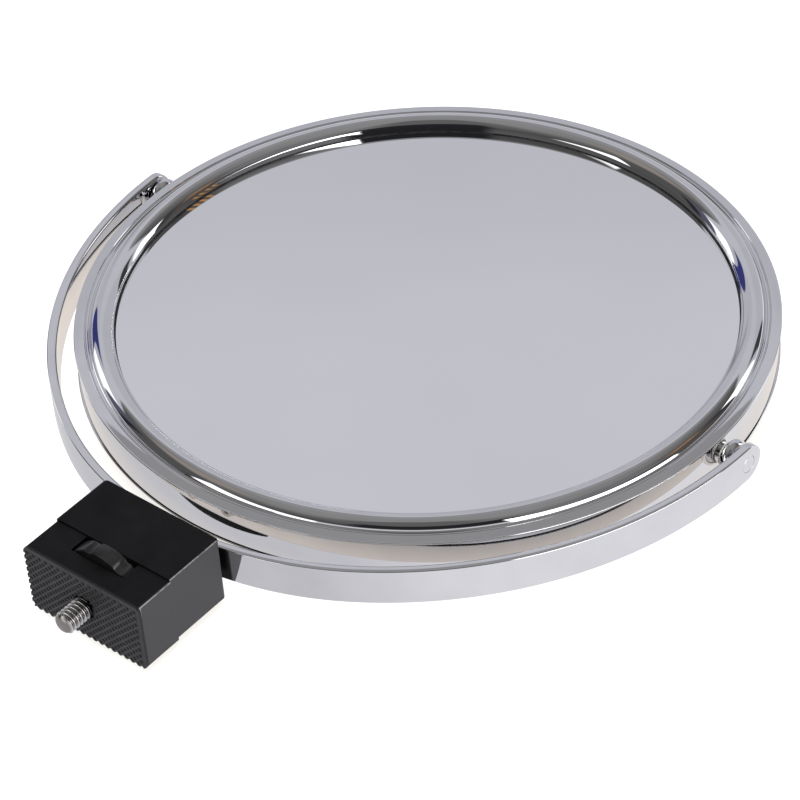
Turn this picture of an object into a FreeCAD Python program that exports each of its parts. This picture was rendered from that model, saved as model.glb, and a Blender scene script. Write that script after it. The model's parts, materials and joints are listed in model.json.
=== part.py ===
"""Pivoting shaving mirror on a captive-screw mounting block.

Frame: the origin is on the clamping stud's axis, in the plane of the grip pad that is
clamped against the carrier. The stud points along -Y, the mirror lies beyond the block
along +Y, and Z is the thickness, with z = 0 at the yoke's mid-plane. Millimetres.
"""

import FreeCAD
import Part
import math
import os
import Sketcher
from FreeCAD import Placement, Rotation, Vector

doc = FreeCAD.newDocument("shaving_mirror")

# ---------------------------------------------------------------- driving dimensions

DIMENSIONS = {
    # mounting block
    "block_width": 40.0,
    "block_height": 20.9,
    "front_depth": 11.8,
    "rear_depth": 18.9,
    "cap_drop": 0.25,          # front block sits this much below the axis, rear above
    "cap_shift": 0.15,         # and this much to the right, the rear to the left
    "corner_radius": 1.2,
    "edge_break": 0.3,
    # grip pad
    "pad_thickness": 1.0,
    "pad_overhang": 0.3,
    "pad_corner": 1.5,
    "pad_hole": 3.5,
    # captive stud, 1/4 inch
    "stud_radius": 3.175,
    "stud_reach": 8.3,
    "tip_length": 1.0,
    "tip_radius": 1.9,
    "journal_radius": 3.0,
    "tail_radius": 2.5,
    "tail_length": 7.0,
    "running_gap": 0.05,
    # thumbwheel and its recess
    "wheel_radius": 13.0,
    "wheel_thickness": 4.5,
    "recess_radius": 13.6,
    "recess_depth": 6.1,
    "front_washer": 0.4,
    "washer_radius": 6.0,
    "notch_count": 8,
    "notch_radius": 2.2,
    "notch_depth": 0.8,
    "notch_phase": 31.0,
    "grub_radius": 1.5,
    # screws between the blocks, and between yoke and block
    "cap_screw_offset": 16.4,
    "cap_screw_radius": 1.25,
    "cap_head_radius": 2.25,
    "cap_head_height": 2.5,
    "cap_screw_length": 18.0,
    "yoke_screw_offset": 7.0,
    "yoke_screw_radius": 1.5,
    "yoke_head_radius": 2.7,
    "yoke_head_height": 1.8,
    "yoke_screw_length": 8.0,
    "socket_radius": 1.0,
    "socket_depth": 1.1,
    # yoke strip: a tight front arc that runs into flatter side arcs
    "strip_width": 11.0,
    "strip_thickness": 2.7,
    "front_reach": 110.8,      # mirror axis to the outermost point of the front arc
    "front_radius": 98.6,
    "front_half_angle": 32.0,
    "side_radius": 118.6,
    "seat_groove": 0.3,        # the strip is let into the block this much
    # mirror head
    "pivot_rise": 1.8,         # the pivots are this far beyond the glass's centre
    "head_tilt": 1.0,          # the stored pose: far rim tipped down on the table
    "lip_radius": 100.0,
    "lip_top": 6.2,
    "lip_sheet": 0.9,
    "lip_round": 0.25,
    "lip_fall": 0.3,           # the lip slopes outward a little
    "bead_centre": 92.1,
    "bead_radius": 3.55,
    "bead_base": 4.6,
    "bead_foot": 6.0,
    "sheet": 0.7,
    "land_height": 6.1,        # a narrow flat ring between two fine grooves
    "land_inner": 95.62,
    "land_outer": 96.3,
    "groove_floor": 5.85,
    "lip_inner": 96.75,
    "band_radius": 99.55,
    "band_sheet": 0.8,
    "glass_radius": 95.2,
    "glass_face": 4.4,
    "glass_thickness": 2.0,
    "magnifier_radius": 1100.0,
    "magnifier_face": 0.8,
    "magnifier_thickness": 1.8,
    "board_radius": 89.5,
    "board_thickness": 0.6,
    "ring_inner": 90.0,
    "ring_outer": 95.0,
    "seat_gap": 0.03,
    # pivots
    "pin_radius": 2.0,
    "pin_inner_end": 97.0,
    "pin_head_radius": 2.5,
    "pin_head_depth": 0.8,
    "dimple_radius": 0.9,
    "dimple_depth": 0.5,
    "ball_inner_end": 100.8,
    "ball_width": 4.2,
    "ball_neck": 3.1,
    "friction_washer": 0.5,
    "friction_washer_radius": 3.4,
    "boss_radius": 3.0,
    "boss_inner_end": 96.4,
    "boss_outer_end": 100.2,
    "flange_radius": 4.2,
    "flange_start": 97.3,
    "flange_end": 98.3,
}

sheet = doc.addObject("Spreadsheet::Sheet", "dims")
for row, (alias, size) in enumerate(DIMENSIONS.items(), start=1):
    sheet.set(f"A{row}", alias)
    sheet.set(f"B{row}", str(size))
    sheet.setAlias(f"B{row}", alias)
doc.recompute()


class Size:
    """A length or angle that knows its value and the sheet expression that gives it."""

    def __init__(self, value, text):
        self.value = float(value)
        self.text = text

    def __add__(self, other):
        other = as_size(other)
        return Size(self.value + other.value, f"({self.text} + {other.text})")

    def __sub__(self, other):
        other = as_size(other)
        return Size(self.value - other.value, f"({self.text} - {other.text})")

    def __rsub__(self, other):
        return as_size(other) - self

    def __mul__(self, other):
        other = as_size(other)
        return Size(self.value * other.value, f"({self.text} * {other.text})")

    def __truediv__(self, other):
        other = as_size(other)
        return Size(self.value / other.value, f"({self.text} / {other.text})")

    def __neg__(self):
        return Size(-self.value, f"(0 - {self.text})")

    def sin(self):
        return Size(math.sin(math.radians(self.value)), f"sin({self.text} * 1deg)")

    def cos(self):
        return Size(math.cos(math.radians(self.value)), f"cos({self.text} * 1deg)")

    def root(self):
        return Size(math.sqrt(self.value), f"sqrt({self.text})")


def as_size(number):
    """A plain number as a Size."""
    return number if isinstance(number, Size) else Size(number, repr(float(number)))


class Sheet:
    """The sheet's cells as Size objects: dim.lip_radius."""

    def __getattr__(self, alias):
        return Size(getattr(sheet, alias), f"dims.{alias}")


dim = Sheet()
ZERO = as_size(0)

# ------------------------------------------------------------------ drawing helpers


def bind(thing, prop, size):
    """Drives one property of an object from the sheet."""
    thing.setExpression(prop, as_size(size).text)


def place(thing, x=ZERO, y=ZERO, z=ZERO):
    """Puts an object's own origin at x, y, z."""
    for axis, size in (("x", x), ("y", y), ("z", z)):
        bind(thing, f"Placement.Base.{axis}", size)


def new_body(name):
    body = doc.addObject("PartDesign::Body", name)
    body.Label = name
    return body


def plane_of(body, role):
    return next(f for f in body.Origin.OriginFeatures if f.Role == role)


def new_sketch(body, role, name, lift=None):
    """A sketch on one of the body's origin planes, lifted along the plane's normal."""
    sketch = body.newObject("Sketcher::SketchObject", name)
    sketch.AttachmentSupport = (plane_of(body, role), [""])
    sketch.MapMode = "FlatFace"
    if lift is not None:
        sketch.AttachmentOffset = Placement(Vector(0, 0, lift.value), Rotation())
        bind(sketch, "AttachmentOffset.Base.z", lift)
    return sketch


def hold(sketch, kind, args, size):
    """Adds a dimension to a sketch and drives it from the sheet."""
    index = sketch.addConstraint(Sketcher.Constraint(kind, *args, size.value))
    bind(sketch, f"Constraints[{index}]", size)


def arc_between(start, end, radius, turn):
    """The arc of this radius from start to end, counter-clockwise if turn is 1."""
    chord = end - start
    middle = (start + end) / 2
    height = math.sqrt(max(radius * radius - (chord.Length / 2) ** 2, 0.0))
    normal = Vector(-chord.y, chord.x, 0).normalize()
    centre = middle + normal * height * turn
    first, last = start - centre, end - centre
    low = math.atan2(first.y, first.x)
    high = math.atan2(last.y, last.x)
    if turn < 0:
        low, high = high, low
    if high < low:
        high += 2 * math.pi
    circle = Part.Circle(centre, Vector(0, 0, 1), radius)
    return Part.ArcOfCircle(circle, low, high)


def outline(sketch, corners, arcs=None):
    """A closed outline through the corners. arcs maps an edge's number to
    (radius, turn): the edge from that corner to the next is then an arc."""
    arcs = arcs or {}
    count = len(corners)
    points = [Vector(x.value, y.value, 0) for x, y in corners]
    first_points = []
    last_points = []
    for i in range(count):
        start, end = points[i], points[(i + 1) % count]
        if i in arcs:
            radius, turn = arcs[i]
            edge = sketch.addGeometry(arc_between(start, end, radius.value, turn))
            first_points.append((edge, 1 if turn > 0 else 2))
            last_points.append((edge, 2 if turn > 0 else 1))
        else:
            edge = sketch.addGeometry(Part.LineSegment(start, end))
            first_points.append((edge, 1))
            last_points.append((edge, 2))
    for i in range(count):
        here = first_points[(i + 1) % count]
        sketch.addConstraint(Sketcher.Constraint("Coincident", *last_points[i], *here))
    for i, (x, y) in enumerate(corners):
        hold(sketch, "DistanceX", (-1, 1, *first_points[i]), x)
        hold(sketch, "DistanceY", (-1, 1, *first_points[i]), y)
    for i, (radius, _) in arcs.items():
        hold(sketch, "Radius", (first_points[i][0],), radius)


def circle(sketch, x, y, radius):
    centre = Vector(x.value, y.value, 0)
    edge = sketch.addGeometry(Part.Circle(centre, Vector(0, 0, 1), radius.value))
    hold(sketch, "DistanceX", (-1, 1, edge, 3), x)
    hold(sketch, "DistanceY", (-1, 1, edge, 3), y)
    hold(sketch, "Radius", (edge,), radius)


def box_outline(sketch, low_x, low_y, high_x, high_y):
    outline(sketch, [(low_x, low_y), (high_x, low_y), (high_x, high_y), (low_x, high_y)])


def extrude(body, kind, sketch, length=None, reverse=False, both=False):
    """A Pad or Pocket. Without a length it goes through everything."""
    feature = body.newObject(f"PartDesign::{kind}", f"{sketch.Name}_{kind.lower()}")
    feature.Profile = sketch
    feature.Reversed = reverse
    if both:
        feature.SideType = "Symmetric"
    if length is None:
        feature.Type = "ThroughAll"
    else:
        bind(feature, "Length", length)
    doc.recompute()
    return feature


def cut(body, sketch, length=None, reverse=False, both=False):
    """A Pocket that is known to have removed something."""
    before = body.Shape.Volume
    feature = extrude(body, "Pocket", sketch, length, reverse, both)
    if body.Shape.Volume >= before - 1e-6:
        raise RuntimeError(f"{feature.Name} cuts nothing")
    return feature


def turned(name, role, axis, corners, arcs=None):
    """A turned piece: an outline on an origin plane, revolved about a sketch axis."""
    body = new_body(name)
    sketch = new_sketch(body, role, f"{name}_section")
    outline(sketch, corners, arcs)
    revolution = body.newObject("PartDesign::Revolution", f"{name}_turning")
    revolution.Profile = sketch
    revolution.ReferenceAxis = (sketch, [axis])
    revolution.Angle = 360
    doc.recompute()
    return body


def dress(body, kind, size, wanted):
    """A Fillet or Chamfer on the tip's edges for which wanted(edge) is true."""
    base = body.Tip
    names = [f"Edge{i}" for i, e in enumerate(base.Shape.Edges, start=1) if wanted(e)]
    feature = body.newObject(f"PartDesign::{kind}", f"{base.Name}_{kind.lower()}")
    feature.Base = (base, names)
    bind(feature, "Radius" if kind == "Fillet" else "Size", size)
    doc.recompute()
    return feature


def runs_along(edge, axis):
    """True for a straight edge parallel to an axis given as a Vector."""
    if not isinstance(edge.Curve, Part.Line):
        return False
    return abs(abs(edge.Curve.Direction * axis) - 1) < 1e-6


def opposite(piece, name):
    """The left-hand twin of a right-hand piece, mirrored in the YZ plane."""
    twin = doc.addObject("Part::Mirroring", name)
    twin.Label = name
    twin.Source = piece
    twin.Normal = Vector(1, 0, 0)
    return twin


def group(name, pieces):
    """Identical fasteners as separate solids in one node."""
    compound = doc.addObject("Part::Compound", name)
    compound.Label = name
    compound.Links = pieces
    return compound


NODES = []


def node(piece):
    NODES.append(piece)
    return piece


# ------------------------------------------------------------------ shared positions

half_width = dim.block_width / 2
half_height = dim.block_height / 2
front_face = dim.pad_thickness
seam = front_face + dim.front_depth
block_back = seam + dim.rear_depth
yoke_front = block_back - dim.seat_groove
centre_y = yoke_front + dim.front_reach
pivot_y = centre_y + dim.pivot_rise
wheel_front = seam - dim.recess_depth + dim.front_washer + dim.running_gap
wheel_back = wheel_front + dim.wheel_thickness
along_y = Vector(0, 1, 0)
along_z = Vector(0, 0, 1)


def place_on_head(thing):
    """Puts a mirror-head piece, drawn about the glass's axis, at the stored tilt."""
    thing.Placement = Placement(Vector(), Rotation(Vector(1, 0, 0), -dim.head_tilt.value))
    bind(thing, "Placement.Rotation.Angle", -dim.head_tilt)
    place(
        thing,
        y=pivot_y - dim.pivot_rise * dim.head_tilt.cos(),
        z=dim.pivot_rise * dim.head_tilt.sin(),
    )


# --------------------------------------------------------------------- mounting block


def block_half(name, depth, side_shift, height_shift):
    """A plain block that starts at its own y = 0 and runs along +Y."""
    body = new_body(name)
    sketch = new_sketch(body, "XZ_Plane", f"{name}_outline")
    box_outline(
        sketch,
        side_shift - half_width,
        height_shift - half_height,
        side_shift + half_width,
        height_shift + half_height,
    )
    extrude(body, "Pad", sketch, depth, reverse=True)
    return body


def make_front_block():
    body = block_half("front_block", dim.front_depth, dim.cap_shift, -dim.cap_drop)
    dress(body, "Chamfer", dim.edge_break, lambda e: runs_along(e, along_y))
    recess = new_sketch(body, "XZ_Plane", "wheel_recess", lift=-dim.front_depth)
    circle(recess, ZERO, ZERO, dim.recess_radius)
    cut(body, recess, dim.recess_depth, reverse=True)
    bore = new_sketch(body, "XZ_Plane", "stud_bore")
    circle(bore, ZERO, ZERO, dim.journal_radius + dim.running_gap)
    cut(body, bore, dim.front_depth)
    for name, radius, depth in (
        ("cap_screw_holes", dim.cap_screw_radius, dim.front_depth),
        ("cap_head_seats", dim.cap_head_radius + 0.1, dim.cap_head_height + 0.1),
    ):
        holes = new_sketch(body, "XZ_Plane", name)
        circle(holes, dim.cap_screw_offset, ZERO, radius)
        circle(holes, -dim.cap_screw_offset, ZERO, radius)
        cut(body, holes, depth)
    place(body, y=front_face)
    return body


def make_rear_block():
    body = block_half("rear_block", dim.rear_depth, -dim.cap_shift, dim.cap_drop)

    def at_back_corner(edge):
        return runs_along(edge, along_z) and edge.BoundBox.YMin > dim.rear_depth.value / 2

    def round_top_or_bottom(edge):
        box = edge.BoundBox
        return box.ZLength < 1e-6 and box.YMax > dim.rear_depth.value / 2

    dress(body, "Fillet", dim.corner_radius, at_back_corner)
    dress(body, "Chamfer", dim.edge_break, round_top_or_bottom)
    tail = new_sketch(body, "XZ_Plane", "tail_bore")
    circle(tail, ZERO, ZERO, dim.tail_radius + dim.running_gap)
    cut(body, tail, dim.tail_length + 0.5)
    taps = new_sketch(body, "XZ_Plane", "cap_screw_taps")
    circle(taps, dim.cap_screw_offset, ZERO, dim.cap_screw_radius)
    circle(taps, -dim.cap_screw_offset, ZERO, dim.cap_screw_radius)
    cut(body, taps, dim.cap_screw_length - dim.front_depth + dim.cap_head_height + 1.5)
    backs = new_sketch(body, "XZ_Plane", "yoke_screw_taps", lift=-dim.rear_depth)
    circle(backs, dim.yoke_screw_offset, ZERO, dim.yoke_screw_radius)
    circle(backs, -dim.yoke_screw_offset, ZERO, dim.yoke_screw_radius)
    cut(body, backs, dim.yoke_screw_length, reverse=True)
    groove = new_sketch(body, "XY_Plane", "yoke_seat")
    arc_centre = dim.rear_depth - dim.seat_groove + dim.front_radius
    circle(groove, ZERO, arc_centre, dim.front_radius)
    cut(body, groove, dim.strip_width + 0.2, both=True)
    place(body, y=seam)
    return body


def make_grip_pad():
    body = new_body("grip_pad")
    sketch = new_sketch(body, "XZ_Plane", "pad_outline")
    half_w = half_width + dim.pad_overhang
    half_h = half_height + dim.pad_overhang
    left, right = dim.cap_shift - half_w, dim.cap_shift + half_w
    low, high = -dim.cap_drop - half_h, half_h - dim.cap_drop
    box_outline(sketch, left, low, right, high)
    extrude(body, "Pad", sketch, dim.pad_thickness, reverse=True)
    dress(body, "Fillet", dim.pad_corner, lambda e: runs_along(e, along_y))
    hole = new_sketch(body, "XZ_Plane", "pad_hole")
    circle(hole, ZERO, ZERO, dim.pad_hole)
    cut(body, hole, dim.pad_thickness)
    return body


def make_cap_screws():
    """Two socket-head screws that hold the front block to the rear one."""
    head, shank = dim.cap_head_radius, dim.cap_screw_radius
    top = dim.cap_head_height
    corners = [
        (ZERO, dim.socket_depth),
        (dim.socket_radius, dim.socket_depth),
        (dim.socket_radius, ZERO),
        (head, ZERO),
        (head, top),
        (shank, top),
        (shank, top + dim.cap_screw_length),
        (ZERO, top + dim.cap_screw_length),
    ]
    right = turned("right_cap_screw", "XY_Plane", "V_Axis", corners)
    place(right, x=dim.cap_screw_offset, y=front_face + 0.1)
    return group("block_screws", [right, opposite(right, "left_cap_screw")])


def make_yoke_screws():
    """Two button-head screws through the strip into the rear block."""
    head, shank = dim.yoke_head_radius, dim.yoke_screw_radius
    top = dim.yoke_head_height
    shoulder = head * 0.75
    corners = [
        (ZERO, -dim.yoke_screw_length),
        (shank, -dim.yoke_screw_length),
        (shank, ZERO),
        (head, ZERO),
        (head, top * 0.35),
        (shoulder, top),
        (dim.socket_radius, top),
        (dim.socket_radius, top - dim.socket_depth),
        (ZERO, top - dim.socket_depth),
    ]
    right = turned("right_yoke_screw", "XY_Plane", "V_Axis", corners)
    inner = dim.front_radius - dim.strip_thickness
    edge = dim.yoke_screw_offset + head
    sag = inner - (inner * inner - edge * edge).root()
    place(right, x=dim.yoke_screw_offset, y=yoke_front + dim.strip_thickness + sag)
    return group("yoke_screws", [right, opposite(right, "left_yoke_screw")])


# --------------------------------------------------------------- captive clamping stud


def make_stud():
    """The captive stud: plain at its major diameter, with a tapered tip and a tail."""
    thread, journal, tail = dim.stud_radius, dim.journal_radius, dim.tail_radius
    end = seam + dim.tail_length
    corners = [
        (ZERO, -dim.stud_reach),
        (dim.tip_radius, -dim.stud_reach),
        (thread, dim.tip_length - dim.stud_reach),
        (thread, ZERO),
        (tail, ZERO),
        (tail, front_face),
        (journal, front_face),
        (journal, seam),
        (tail, seam),
        (tail, end),
        (ZERO, end),
    ]
    return turned("stud", "XY_Plane", "V_Axis", corners)


def make_thumbwheel():
    body = new_body("thumbwheel")
    disc = new_sketch(body, "XZ_Plane", "wheel_disc")
    circle(disc, ZERO, ZERO, dim.wheel_radius)
    circle(disc, ZERO, ZERO, dim.journal_radius)
    extrude(body, "Pad", disc, dim.wheel_thickness, reverse=True)

    def on_rim(edge):
        is_circle = isinstance(edge.Curve, Part.Circle)
        return is_circle and edge.Curve.Radius > dim.wheel_radius.value - 1e-6

    dress(body, "Chamfer", dim.edge_break, on_rim)
    notch = new_sketch(body, "XZ_Plane", "finger_notch")
    reach = dim.wheel_radius + dim.notch_radius - dim.notch_depth
    across, up = reach * dim.notch_phase.sin(), reach * dim.notch_phase.cos()
    circle(notch, across, up, dim.notch_radius)
    notch_cut = cut(body, notch, dim.wheel_thickness)
    pattern = body.newObject("PartDesign::PolarPattern", "finger_notches")
    pattern.Originals = [notch_cut]
    pattern.Axis = (plane_of(body, "Y_Axis"), [""])
    pattern.Angle = 360
    bind(pattern, "Occurrences", dim.notch_count)
    body.Tip = pattern
    doc.recompute()
    tap = new_sketch(body, "XY_Plane", "grub_tap")
    circle(tap, ZERO, dim.wheel_thickness / 2, dim.grub_radius)
    cut(body, tap)
    place(body, y=wheel_front)
    return body


def make_grub_screw():
    """The set screw that fixes the wheel to the stud, below the rim."""
    length = dim.wheel_radius - dim.journal_radius - 2
    top = -dim.journal_radius
    corners = [
        (ZERO, top - length),
        (dim.grub_radius, top - length),
        (dim.grub_radius, top - 0.3),
        (dim.grub_radius - 0.4, top - 0.02),
        (ZERO, top - 0.02),
    ]
    body = turned("wheel_grub_screw", "XZ_Plane", "V_Axis", corners)
    place(body, y=wheel_front + dim.wheel_thickness / 2)
    return body


def make_thrust_washers():
    """Nylon washers in front of and behind the wheel."""
    bore = dim.journal_radius + 0.2
    washers = []
    for name, start, end in (
        ("front_thrust_washer", seam - dim.recess_depth, wheel_front - dim.running_gap),
        ("rear_thrust_washer", wheel_back + dim.running_gap, seam),
    ):
        corners = [
            (bore, start),
            (dim.washer_radius, start),
            (dim.washer_radius, end),
            (bore, end),
        ]
        washers.append(turned(name, "XY_Plane", "V_Axis", corners))
    return group("thrust_washers", washers)


# ------------------------------------------------------------------------------- yoke


def strip_side(offset):
    """Corners of one side of the strip's plan, from the right end round to the left.
    offset is how far this side lies inside the outer one."""
    front = dim.front_radius - offset
    side = dim.side_radius - offset
    sine, cosine = dim.front_half_angle.sin(), dim.front_half_angle.cos()
    front_centre = dim.front_radius - dim.front_reach
    step = dim.side_radius - dim.front_radius
    side_x = -step * sine
    side_y = front_centre + step * cosine
    end_y = dim.pivot_rise + dim.strip_width / 2
    drop = end_y - side_y
    end_x = side_x + (side * side - drop * drop).root()
    blend_x = front * sine
    blend_y = front_centre - front * cosine
    right = [(end_x, end_y), (blend_x, blend_y)]
    left = [(-blend_x, blend_y), (-end_x, end_y)]
    return right + left, [side, front, side]


def make_yoke():
    body = new_body("yoke")
    plan = new_sketch(body, "XY_Plane", "strip_plan")
    outer, outer_radii = strip_side(ZERO)
    inner, inner_radii = strip_side(dim.strip_thickness)
    corners = outer + inner[::-1]
    arcs = {i: (radius, -1) for i, radius in enumerate(outer_radii)}
    arcs.update({i + 4: (radius, 1) for i, radius in enumerate(inner_radii)})
    outline(plan, corners, arcs)
    extrude(body, "Pad", plan, dim.strip_width, both=True)

    ends = new_sketch(body, "YZ_Plane", "round_ends")
    half = dim.strip_width / 2
    axis_y = dim.pivot_rise
    beyond = axis_y + dim.strip_width
    corners = [
        (axis_y, -half),
        (axis_y, -dim.strip_width),
        (beyond, -dim.strip_width),
        (beyond, dim.strip_width),
        (axis_y, dim.strip_width),
        (axis_y, half),
        (axis_y + half, ZERO),
    ]
    outline(ends, corners, {5: (half, -1), 6: (half, -1)})
    cut(body, ends, both=True)

    pivots = new_sketch(body, "YZ_Plane", "pivot_holes")
    circle(pivots, dim.pivot_rise, ZERO, dim.pin_radius)
    cut(body, pivots, both=True)
    for name, side in (("right_head_seat", 1), ("left_head_seat", -1)):
        depth = (pivot_face() - dim.pin_head_depth) * side
        seat = new_sketch(body, "YZ_Plane", name, lift=depth)
        circle(seat, dim.pivot_rise, ZERO, dim.pin_head_radius)
        cut(body, seat, dim.pin_head_depth * 2, reverse=side > 0)

    screws = new_sketch(body, "XZ_Plane", "yoke_screw_holes")
    circle(screws, dim.yoke_screw_offset, ZERO, dim.yoke_screw_radius)
    circle(screws, -dim.yoke_screw_offset, ZERO, dim.yoke_screw_radius)
    cut(body, screws, reverse=True)
    place(body, y=centre_y)
    return body


def pivot_face():
    """How far the strip's outer face lies from the mirror's plane of symmetry at a pivot."""
    step = dim.side_radius - dim.front_radius
    side_y = dim.front_radius - dim.front_reach + step * dim.front_half_angle.cos()
    drop = dim.pivot_rise - side_y
    reach = (dim.side_radius * dim.side_radius - drop * drop).root()
    return reach - step * dim.front_half_angle.sin()


# ----------------------------------------------------------------------------- pivots


def make_pivot_pin():
    """A riveted pin, flush with the strip's outer face, with a dimple in its head."""
    face = pivot_face()
    corners = [
        (dim.pin_inner_end, ZERO),
        (dim.pin_inner_end, dim.pin_radius - 0.3),
        (dim.pin_inner_end + 0.3, dim.pin_radius),
        (face - dim.pin_head_depth, dim.pin_radius),
        (face - dim.pin_head_depth, dim.pin_head_radius),
        (face - 0.1, dim.pin_head_radius),
        (face, dim.pin_head_radius - 0.1),
        (face, dim.dimple_radius),
        (face - dim.dimple_depth, ZERO),
    ]
    body = turned("right_pivot_pin", "XY_Plane", "H_Axis", corners)
    place(body, y=pivot_y)
    return body


def make_pivot_ball():
    """A round-sided spacer that fills the gap between the drum and the yoke."""
    inner = dim.ball_inner_end
    bulge = dim.ball_width / 2
    outer = inner + dim.ball_width
    corners = [
        (inner, dim.pin_radius),
        (inner, dim.ball_neck),
        (inner + bulge, dim.ball_neck + bulge),
        (outer, dim.ball_neck),
        (outer, dim.pin_radius),
    ]
    arcs = {1: (bulge, -1), 2: (bulge, -1)}
    body = turned("right_pivot_ball", "XY_Plane", "H_Axis", corners, arcs)
    place(body, y=pivot_y)
    return body


def make_friction_washer():
    """A nylon washer between the ball and the drum's boss."""
    outer = dim.ball_inner_end
    inner = outer - dim.friction_washer
    corners = [
        (inner, dim.pin_radius),
        (inner, dim.friction_washer_radius),
        (outer, dim.friction_washer_radius),
        (outer, dim.pin_radius),
    ]
    body = turned("right_friction_washer", "XY_Plane", "H_Axis", corners)
    place(body, y=pivot_y)
    return body


def make_pivot_boss():
    """The flanged bush in the drum's wall that turns on the pin."""
    bore = dim.pin_radius + dim.running_gap
    corners = [
        (dim.boss_inner_end, bore),
        (dim.boss_inner_end, dim.boss_radius),
        (dim.flange_start, dim.boss_radius),
        (dim.flange_start, dim.flange_radius),
        (dim.flange_end, dim.flange_radius),
        (dim.flange_end, dim.boss_radius),
        (dim.boss_outer_end, dim.boss_radius),
        (dim.boss_outer_end, bore),
    ]
    body = turned("right_pivot_boss", "XY_Plane", "H_Axis", corners)
    place(body, y=pivot_y)
    return body


# ------------------------------------------------------------------------ mirror head


def dish_depth(radius, sphere):
    """How far a shallow sphere falls away from its centre at this radius."""
    return sphere - (sphere * sphere - radius * radius).root()


def make_bezel(name, side, wall_end):
    """A pressed ring: a sloping lip, two fine grooves with a land between them, a domed
    bead and a wall down to the glass. side is 1 for the front ring, -1 for the rear."""
    bead, centre, base = dim.bead_radius, dim.bead_centre, dim.bead_base
    hollow = bead - dim.sheet
    under = dim.lip_top - dim.lip_sheet
    lip, rounding = dim.lip_radius, dim.lip_round
    foot_rise = dim.bead_foot - base
    foot = centre + (bead * bead - foot_rise * foot_rise).root()
    under_rise = under - base
    under_foot = centre + (hollow * hollow - under_rise * under_rise).root()
    profile = [
        (centre - bead, wall_end),
        (centre - bead, base),
        (centre, base + bead),
        (foot, dim.bead_foot),
        ((foot + dim.land_inner) / 2, dim.groove_floor),
        (dim.land_inner, dim.land_height),
        (dim.land_outer, dim.land_height),
        ((dim.land_outer + dim.lip_inner) / 2, dim.groove_floor),
        (dim.lip_inner, dim.lip_top),
        (lip - rounding, dim.lip_top - dim.lip_fall),
        (lip, dim.lip_top - dim.lip_fall - rounding),
        (lip, under + rounding),
        (lip - rounding, under),
        (under_foot, under),
        (centre, base + hollow),
        (centre - hollow, base),
        (centre - hollow, wall_end),
    ]
    corners = [(radius, height * side) for radius, height in profile]
    arcs = {
        1: (bead, -side),
        2: (bead, -side),
        9: (rounding, -side),
        11: (rounding, -side),
        13: (hollow, side),
        14: (hollow, side),
    }
    body = turned(name, "XZ_Plane", "V_Axis", corners, arcs)
    place_on_head(body)
    return body


def make_drum_band():
    """The drum's wall between the two rings, with a hole at each pivot."""
    end = dim.lip_top - dim.lip_sheet
    outer = dim.band_radius
    inner = outer - dim.band_sheet
    corners = [(inner, -end), (outer, -end), (outer, end), (inner, end)]
    body = turned("drum_band", "XZ_Plane", "V_Axis", corners)
    holes = new_sketch(body, "YZ_Plane", "boss_holes")
    circle(holes, dim.pivot_rise, ZERO, dim.boss_radius)
    cut(body, holes, both=True)
    place_on_head(body)
    return body


def make_plain_mirror():
    low = dim.glass_face - dim.glass_thickness
    corners = [
        (ZERO, low),
        (dim.glass_radius, low),
        (dim.glass_radius, dim.glass_face),
        (ZERO, dim.glass_face),
    ]
    body = turned("plain_mirror", "XZ_Plane", "V_Axis", corners)
    place_on_head(body)
    return body


def make_magnifying_mirror():
    """The dished glass on the back: concave as seen from behind."""
    outer_sphere = dim.magnifier_radius
    inner_sphere = dim.magnifier_radius + dim.magnifier_thickness
    face = -dim.magnifier_face
    back = face + dim.magnifier_thickness
    rim = dim.glass_radius
    corners = [
        (ZERO, face),
        (rim, face - dish_depth(rim, outer_sphere)),
        (rim, back - dish_depth(rim, inner_sphere)),
        (ZERO, back),
    ]
    arcs = {0: (outer_sphere, -1), 2: (inner_sphere, 1)}
    body = turned("magnifying_mirror", "XZ_Plane", "V_Axis", corners, arcs)
    place_on_head(body)
    return body


def make_spacer_ring():
    """The plastic ring that keeps the two glasses apart at their rims."""
    sphere = dim.magnifier_radius + dim.magnifier_thickness
    back = dim.magnifier_thickness - dim.magnifier_face + dim.seat_gap
    inner, outer = dim.ring_inner, dim.ring_outer
    top = dim.glass_face - dim.glass_thickness
    corners = [
        (inner, back - dish_depth(inner, sphere)),
        (outer, back - dish_depth(outer, sphere)),
        (outer, top),
        (inner, top),
    ]
    body = turned("spacer_ring", "XZ_Plane", "V_Axis", corners)
    place_on_head(body)
    return body


def make_backing_board():
    board = doc.addObject("Part::Cylinder", "backing_board")
    board.Label = "backing_board"
    bind(board, "Radius", dim.board_radius)
    bind(board, "Height", dim.board_thickness)
    top = dim.glass_face - dim.glass_thickness
    lift = top - dim.board_thickness
    board.Placement = Placement(Vector(), Rotation(Vector(1, 0, 0), -dim.head_tilt.value))
    bind(board, "Placement.Rotation.Angle", -dim.head_tilt)
    rise = dim.pivot_rise
    tilt = dim.head_tilt
    place(
        board,
        y=pivot_y - rise * tilt.cos() + lift * tilt.sin(),
        z=rise * tilt.sin() + lift * tilt.cos(),
    )
    return board


# --------------------------------------------------------------------------- assembly

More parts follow.
